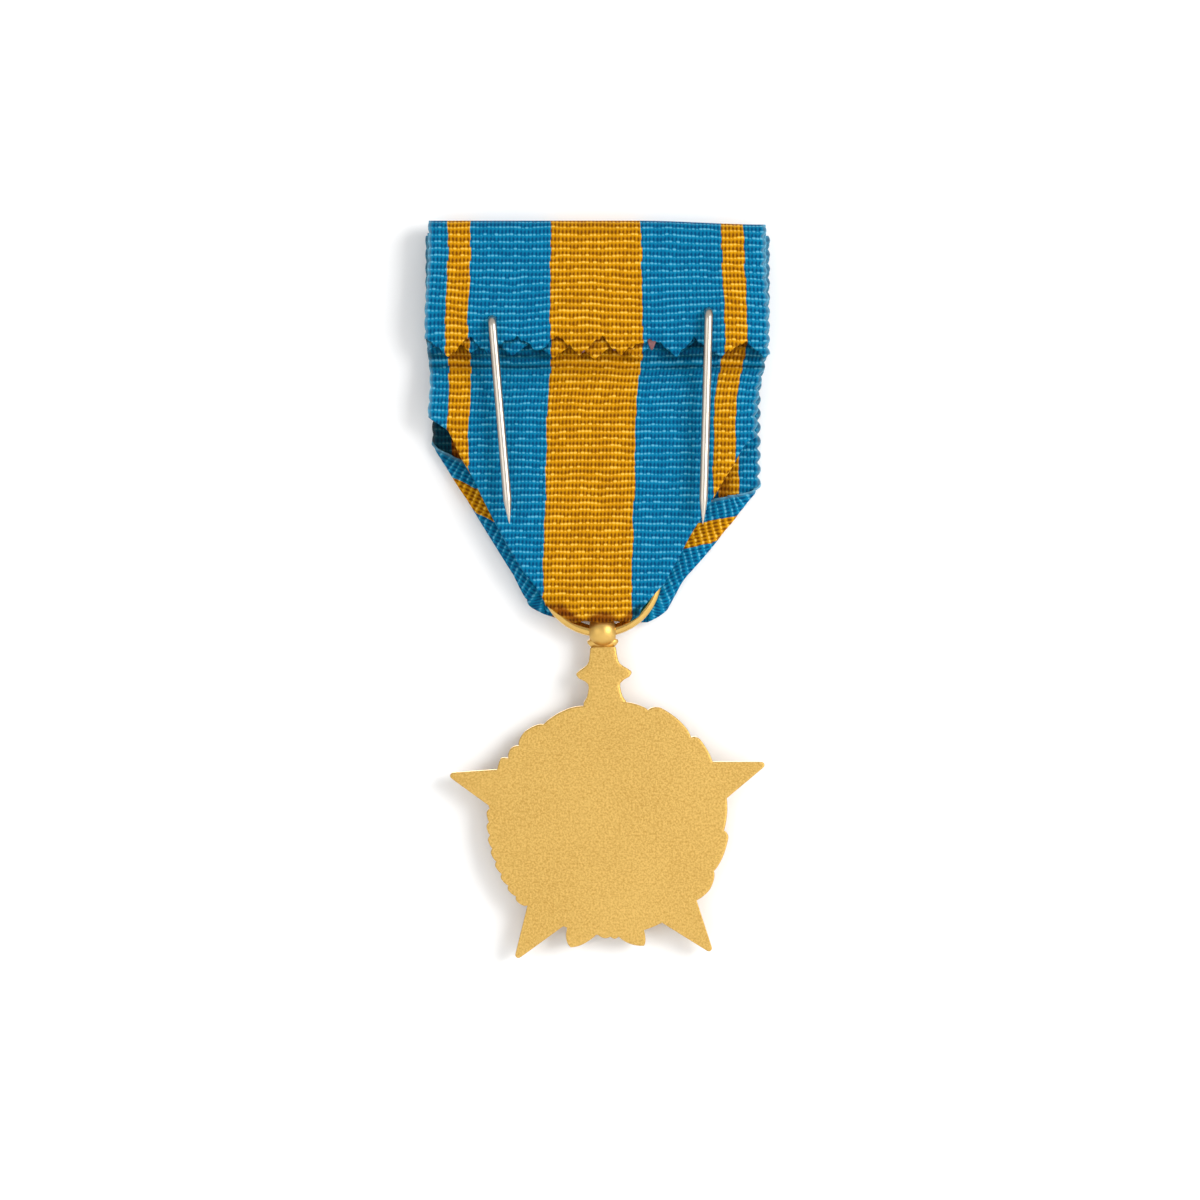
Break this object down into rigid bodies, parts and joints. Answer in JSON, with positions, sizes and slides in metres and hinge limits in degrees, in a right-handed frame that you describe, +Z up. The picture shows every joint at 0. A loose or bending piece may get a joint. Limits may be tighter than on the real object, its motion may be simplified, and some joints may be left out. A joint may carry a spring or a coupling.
{
  "type": "service medal",
  "caption": "Star-shaped gilt medal with a wreath edge, hung by a ball and ring from a folded striped ribbon with two garment pins behind.",
  "frame": {"origin": "midway between the two garment pins, on their axes' plane, at the height where they leave the ribbon", "axes": "+Z up along the hanging medal, -Y out of its front, +Y out of its back, where the pins are"},
  "size_m": [0.037, 0.0052, 0.0795],
  "materials": {
    "ribbon": "ribbed weave in blue with golden yellow stripes",
    "adhesive": "dull",
    "pin_wire": "nickel plated",
    "bar": "plain",
    "ring_gilt": "polished gilt",
    "ball_gilt": "polished gilt",
    "star_gilt": "fine-grained matt gilt"
  },
  "bodies": {
    "ribbon": {"ribbon": "ribbon", "adhesive_strip": "adhesive", "pin_bar": "bar", "pin_right": "pin_wire", "pin_left": "pin_wire"},
    "ring": {"suspension_ring": "ring_gilt"},
    "medal": {"hanging_ball": "ball_gilt", "star": "star_gilt"}
  },
  "joints": [
    {"name": "ring_sway", "type": "hinge", "parent": "ribbon", "child": "ring", "pos_m": [0, -0.00307, -0.0283], "axis": [0, 1, 0], "range_deg": [-17, 13]},
    {"name": "medal_swing", "type": "hinge", "parent": "ring", "child": "medal", "pos_m": [-0.00021, -0.00307, -0.0344], "axis": [0.9994, 0, -0.0349], "range_deg": [-80, 80]}
  ]
}
